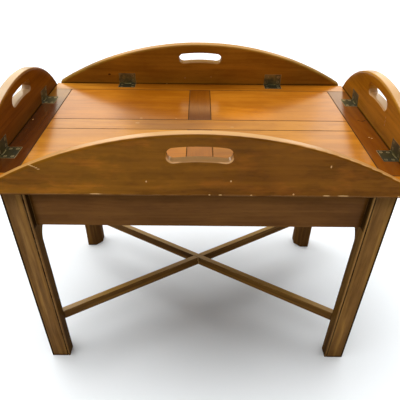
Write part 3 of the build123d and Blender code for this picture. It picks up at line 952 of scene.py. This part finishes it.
def flap_marks(side, depth=6 * MILLIMETRE):
    """Marks of one flap, moved to where its raised face is."""
    middle, axis, lean = hinge_line(side)
    run = Vector((abs(axis.x), abs(axis.y), 0.0))
    inward = Vector((-middle.x, -middle.y, 0.0)).normalized()
    outward = Matrix.Rotation(-lean, 3, axis) @ -inward
    up = Matrix.Rotation(-lean, 3, axis) @ AXIS["Z"]
    found = []
    for along, height, half_run, half_up, face, paint in FLAP_MARKS[side]:
        centre = middle + run * along * MILLIMETRE + up * height * MILLIMETRE + outward * MARK_DEPTH[face]
        half = run * half_run * MILLIMETRE + AXIS["Z"] * half_up * MILLIMETRE
        half += Vector((abs(inward.x), abs(inward.y), 0.0)) * depth
        found.append(Mark(centre, half, paint))
    return found


def upright(side):
    """Axes along, up and through a board that stands at one side of the table."""
    return "XZY" if side in ("front", "back") else "YZX"


def finish_of(kind, gloss, polish, figure, streaks, wear):
    """Finish of the tray, the flap or the stand, with its colours from the panel."""
    settings = bpy.context.scene.butler_table_wood
    light, dark = getattr(settings, f"{kind}_light"), getattr(settings, f"{kind}_dark")
    return Finish(light, dark, gloss, polish, figure, streaks, wear)


# Steps: one for each group of like pieces, and one for the stage
class BUTLERTABLE_OT_tray(bpy.types.Operator):
    """Finish the boards of the tray"""

    bl_idname = "butler_table.tray"
    bl_label = "Tray boards"

    def execute(self, context):
        finish = finish_of("tray", gloss=0.2, polish=1.0, figure=0.2, streaks=0.2, wear=0.3)
        for number, (node, tone) in enumerate(sorted(TRAY_TONE.items())):
            kind = node.split("_")[-1]
            past_x = TONGUE if "panel" in node or "centre_rail" in node else 0.0
            past_y = 0.0 if "rail" in node else TONGUE
            order = "YXZ" if kind == "stile" else "XYZ"
            line = FAINT_LINE if "centre_stile" in node else JOINT_LINE
            places = joints(Vector((past_x, past_y, 0.0)), line)
            # The tints paint reflections and shade on the tray
            material = wood(
                node,
                toned(finish, tone),
                order,
                number,
                places=places,
                marks=tray_marks(node),
                tints=TRAY_SHEEN_AND_SHADE.get(node, ()),
            )
            dress(node, material)
        return {"FINISHED"}


class BUTLERTABLE_OT_battens(bpy.types.Operator):
    """Finish the battens under the tray"""

    bl_idname = "butler_table.battens"
    bl_label = "Battens"

    def execute(self, context):
        finish = finish_of("stand", gloss=0.3, polish=0.2, figure=0.2, streaks=0.1, wear=0.5)
        for number, node in enumerate(("left_batten", "right_batten"), start=20):
            dress(node, wood(node, finish, "YXZ", number))
        return {"FINISHED"}


class BUTLERTABLE_OT_flaps(bpy.types.Operator):
    """Finish the four flaps"""

    bl_idname = "butler_table.flaps"
    bl_label = "Flaps"

    def execute(self, context):
        finish = finish_of("flap", gloss=0.2, polish=0.2, figure=0.1, streaks=0.3, wear=0.4)
        for number, side in enumerate(SIDES, start=30):
            look = FLAP_LOOKS[side]
            order = upright(side)
            node = f"{side}_flap"
            board = toned(finish, look.tone)._replace(polish=look.polish, crown=look.crown)
            places = crown(
                order[0],
                Share=look.crown_share,
                Tips=look.tips,
                Half_hole=HOLE_HALF,
                Lip=look.lip,
                Arris=look.arris,
            )
            outward = AXIS[order[2]] * (1 if side in ("back", "right") else -1)
            # The outer face takes its own tone, so only the inner face keeps the painted light in the flap's
            # tone
            beside_inner = [outer / inner for outer, inner in zip(OUTER_TONE, look.tone)]
            tints = [outer_face(outward, beside_inner), *look.tints]
            material = wood(node, board, order, number, places=places, marks=flap_marks(side), tints=tints)
            dress(node, material)
        return {"FINISHED"}


class BUTLERTABLE_OT_stand(bpy.types.Operator):
    """Finish the legs, aprons and stretchers"""

    bl_idname = "butler_table.stand"
    bl_label = "Stand"

    def execute(self, context):
        finish = finish_of("stand", gloss=0.25, polish=0.12, figure=0.08, streaks=0.9, wear=0.35)
        for number, side in enumerate(SIDES, start=40):
            node = f"{side}_apron"
            board = toned(finish, APRON_TONE)._replace(streaks=0.2)
            # Painted shade under the tray, and from the corners out to 16 mm
            places = shaded(APRON_SHADE)
            dress(node, wood(node, board, upright(side), number, places=places, reach=16 * MILLIMETRE))
        inner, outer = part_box("back_right_leg")
        for number, (end, side) in enumerate(((e, s) for e in SIDES[:2] for s in SIDES[2:]), start=44):
            node = f"{end}_{side}_leg"
            # Painted shade in the mouldings and under the tray, and from the corners out to 14 mm
            places = mouldings(inner, outer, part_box("front_apron")[0].z)
            post = toned(finish, LEG_TONE[end])
            # The legs' own mottle, and painted reflections down the fronts of the front legs
            tints = [LEG_MOTTLE, *LEG_SHEEN.get(node, ())]
            dress(node, wood(node, post, "ZXY", number, places=places, tints=tints, reach=14 * MILLIMETRE))
        # Painted highlight on the stretchers' tops, in a paler crown colour, and on their arrises, by
        # stronger edge wear
        top = tuple(context.scene.butler_table_wood.bar_top_highlight)
        for number, (node, way) in enumerate((("rising_stretcher", 1), ("falling_stretcher", -1)), start=50):
            low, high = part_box(node)
            angle = -way * math.atan2(high.y - low.y, high.x - low.x)
            bar = toned(finish, BAR_TONE)._replace(wear=1.6, crown=top)
            dress(node, wood(node, bar, "XYZ", number, angle=angle, places=crown(Share=BAR_CROWN)))
        return {"FINISHED"}


class BUTLERTABLE_OT_hinges(bpy.types.Operator):
    """Finish the hinge leaves and pins"""

    bl_idname = "butler_table.hinges"
    bl_label = "Hinges"

    def execute(self, context):
        settings = context.scene.butler_table_brass
        darkened = brass("darkened_brass", settings.tarnished, 0.9, 0.5, shade=0.22)
        for side in SIDES:
            # A side's leaf shade is painted shade on its flap leaves, deepest on the left
            shade = FLAP_LOOKS[side].leaf_shade
            aged = brass(f"{side}_leaf_brass", settings.tarnished, 0.7, 0.42, shade)
            for number in (1, 2):
                dress(f"{side}_hinge_{number}_flap_leaf", aged)
                dress(f"{side}_hinge_{number}_tray_leaf", darkened)
        dress("hinge_pins", brass("pin_brass", settings.tarnished, 0.7, 0.42, shade=0.6))
        return {"FINISHED"}


class BUTLERTABLE_OT_screws(bpy.types.Operator):
    """Finish the brass and steel screws"""

    bl_idname = "butler_table.screws"
    bl_label = "Screws"

    def execute(self, context):
        settings = context.scene.butler_table_brass
        slotted = brass("screw_brass", Vector(settings.bright) * 0.4, 0.55, 0.4, shade=0.65)
        for node in ("tray_leaf_screws", *(f"{side}_flap_screws" for side in SIDES)):
            dress(node, slotted)
        dress("batten_screws", brass("screw_steel", settings.steel, 0.5, 0.35))
        return {"FINISHED"}


# Stage: places in metres, lights as name, direction and share, or as name and nearer and farther end
TOP_MIDDLE = (0.0, 0.0, 0.45)
PANEL_BEHIND = (0.0, 3.2, 2.0)
PANEL_BEHIND_SIZE = (4.6, 2.2)
SIDE_PANELS = (("left", -0.7, -2.4), ("right", 1.15, 2.4))
SIDE_PANEL_DISTANCE = 3.1
SIDE_PANEL_MIDDLE = 2.2
SIDE_PANEL_HEIGHT = 2.8
KEY_WAY = (0.16, -0.16, -1.0)
FLOOR_LIGHTS = (("left", (0.42, -0.18, -1.0), 0.58), ("right", (-0.42, -0.18, -1.0), 0.42))


def reflected_panel(name, place, width, height, radiance, colour):
    """Bright panel turned to the table's top, which is seen in the polish alone."""
    aim = (Vector(TOP_MIDDLE) - Vector(place)).to_track_quat("-Z", "Y").to_euler()
    bpy.ops.object.light_add(type="AREA", location=place, rotation=aim)
    lamp = bpy.context.object
    lamp.name = name
    lamp.data.shape = "RECTANGLE"
    lamp.data.size = width
    lamp.data.size_y = height
    lamp.data.energy = radiance * math.pi * width * height
    lamp.data.color = colour
    lamp.visible_camera = False
    lamp.visible_diffuse = False


def soft_light(name, strength, spread, way):
    """Wide light from above that shines the given way."""
    aim = Vector(way).to_track_quat("-Z", "Y").to_euler()
    bpy.ops.object.light_add(type="SUN", location=(0.0, 0.0, 3.0), rotation=aim)
    lamp = bpy.context.object
    lamp.name = name
    lamp.data.energy = strength
    lamp.data.angle = spread
    return lamp


def room(fill, shine, tint):
    """White room, dimmer on what it lights than where the polish or the camera shows it."""
    world = bpy.data.worlds.new("room")
    world.use_nodes = True
    tree = world.node_tree
    path = add(tree, "ShaderNodeLightPath").outputs
    strength = between(tree, path["Is Glossy Ray"], fill, shine)
    strength = calc(tree, "MAXIMUM", strength, path["Is Camera Ray"])
    colour = mix(tree, path["Is Glossy Ray"], solid(WHITE), solid(tint))
    plug(tree, tree.nodes["Background"], {"Color": colour, "Strength": strength})
    return world


def floor_material(colour):
    """Pale, even floor with a faint mottle."""
    material, tree, shader, place = new_material("floor")
    mottle = noise(tree, place, 3.0, 0.5, 3.0)
    paint = mix(tree, mottle, solid(colour), solid(Vector(colour) * 0.985))
    plug(tree, shader, {"Base Color": paint, "Roughness": 0.9, "Specular IOR Level": 0.1})
    return material


class BUTLERTABLE_OT_stage(bpy.types.Operator):
    """Lay the floor, hang the lights and place the camera"""

    bl_idname = "butler_table.stage"
    bl_label = "Floor, lights and camera"

    def execute(self, context):
        stage = context.scene.butler_table_stage
        bpy.ops.object.select_all(action="DESELECT")
        bpy.ops.mesh.primitive_circle_add(vertices=96, radius=stage.floor_radius, fill_type="NGON")
        floor = context.object
        floor.name = "floor"
        floor.data.materials.append(floor_material(stage.floor_colour))
        size = PANEL_BEHIND_SIZE
        reflected_panel("panel_behind", PANEL_BEHIND, *size, stage.back_radiance, stage.back_colour)
        soft_light("key_light", stage.key_strength, stage.key_spread, KEY_WAY)
        under = bpy.data.collections.new("floor_only")
        under.objects.link(floor)
        for name, way, part in FLOOR_LIGHTS:
            lamp = soft_light(f"floor_light_{name}", stage.floor_glow * part, stage.floor_spread, way)
            lamp.light_linking.receiver_collection = under
        for name, near, far in SIDE_PANELS:
            place = ((near + far) / 2, SIDE_PANEL_DISTANCE, SIDE_PANEL_MIDDLE)
            size = (abs(far - near), SIDE_PANEL_HEIGHT)
            reflected_panel(f"panel_{name}", place, *size, stage.side_radiance, WHITE)
        context.scene.world = room(stage.fill, stage.room_shine, stage.room_tint)
        context.scene.view_settings.view_transform = "Standard"
        turn = Matrix.Rotation(-stage.camera_yaw, 4, "Z")
        turn = turn @ Matrix.Rotation(math.pi / 2 - stage.camera_pitch, 4, "X")
        turn = turn @ Matrix.Rotation(stage.camera_roll, 4, "Z")
        bpy.ops.object.camera_add(location=stage.camera_place, rotation=turn.to_euler())
        camera = context.object
        camera.name = "camera"
        camera.data.lens = stage.camera_lens
        camera.data.clip_end = 4 * stage.floor_radius
        context.scene.camera = camera
        return {"FINISHED"}


class BUTLERTABLE_PT_panel(bpy.types.Panel):
    """Sidebar panel with the table's settings and steps"""

    bl_idname = "BUTLERTABLE_PT_panel"
    bl_label = "Butler Table"
    bl_space_type = "VIEW_3D"
    bl_region_type = "UI"
    bl_category = "Butler Table"

    def draw(self, context):
        scene = context.scene
        for title, settings in (
            ("Wood", scene.butler_table_wood),
            ("Brass", scene.butler_table_brass),
            ("Stage", scene.butler_table_stage),
        ):
            box = self.layout.box()
            box.label(text=title)
            for name in settings.__annotations__:
                box.prop(settings, name)
        for step in STEPS:
            self.layout.operator(step.bl_idname)


SETTINGS = {
    "butler_table_wood": ButlerTableWood,
    "butler_table_brass": ButlerTableBrass,
    "butler_table_stage": ButlerTableStage,
}
STEPS = (
    BUTLERTABLE_OT_tray,
    BUTLERTABLE_OT_battens,
    BUTLERTABLE_OT_flaps,
    BUTLERTABLE_OT_stand,
    BUTLERTABLE_OT_hinges,
    BUTLERTABLE_OT_screws,
    BUTLERTABLE_OT_stage,
)


def register():
    """Makes the settings, steps and panel known to Blender."""
    for name, kind in SETTINGS.items():
        bpy.utils.register_class(kind)
        setattr(bpy.types.Scene, name, bpy.props.PointerProperty(type=kind))
    for kind in (*STEPS, BUTLERTABLE_PT_panel):
        bpy.utils.register_class(kind)


def unregister():
    """Takes them away again."""
    for kind in (BUTLERTABLE_PT_panel, *reversed(STEPS)):
        bpy.utils.unregister_class(kind)
    for name, kind in reversed(SETTINGS.items()):
        delattr(bpy.types.Scene, name)
        bpy.utils.unregister_class(kind)


def main():
    """Runs every step in order."""
    register()
    for step in STEPS:
        module, call = step.bl_idname.split(".")
        getattr(getattr(bpy.ops, module), call)()


if __name__ == "__main__":
    main()
